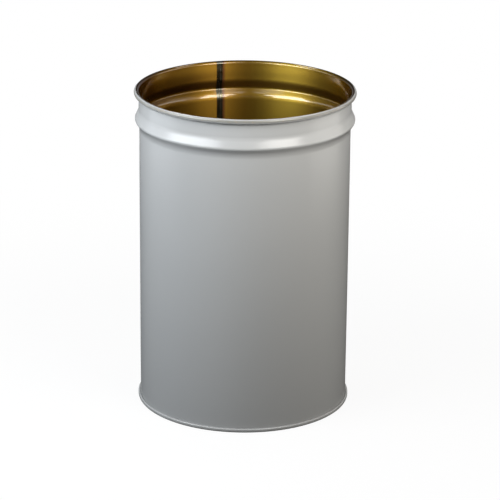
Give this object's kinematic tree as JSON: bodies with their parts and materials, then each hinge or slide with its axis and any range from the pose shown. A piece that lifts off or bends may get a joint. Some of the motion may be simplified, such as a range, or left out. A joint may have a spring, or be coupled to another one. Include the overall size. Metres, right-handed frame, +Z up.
{
  "type": "storage drum",
  "caption": "Straight open-head steel drum with a rolled rim, a swaged bead below it, a welded side seam and a double-seamed bottom; holds waste, parts or liquids standing on a floor.",
  "frame": {"origin": "on the floor at the drum's axis, at the middle of the bottom seam's resting ring", "axes": "+Z up along the drum's axis to the open top; +Y towards the welded side seam; +X completes the right-handed frame"},
  "size_m": [0.4892, 0.4892, 0.718],
  "materials": {
    "grey_enamel": "satin-gloss light grey stoved enamel outside, over steel",
    "gold_lining": "clear gold phenolic lacquer over bright steel, on the inside",
    "bare_weld_steel": "bare, heat-tinted welded steel",
    "sealing_compound": "matt sealing compound inside the bottom seam"
  },
  "bodies": {
    "root": {"body_shell": "grey_enamel", "side_seam_weld": "bare_weld_steel", "bottom_head": "grey_enamel", "seam_compound": "sealing_compound"}
  },
  "joints": []
}
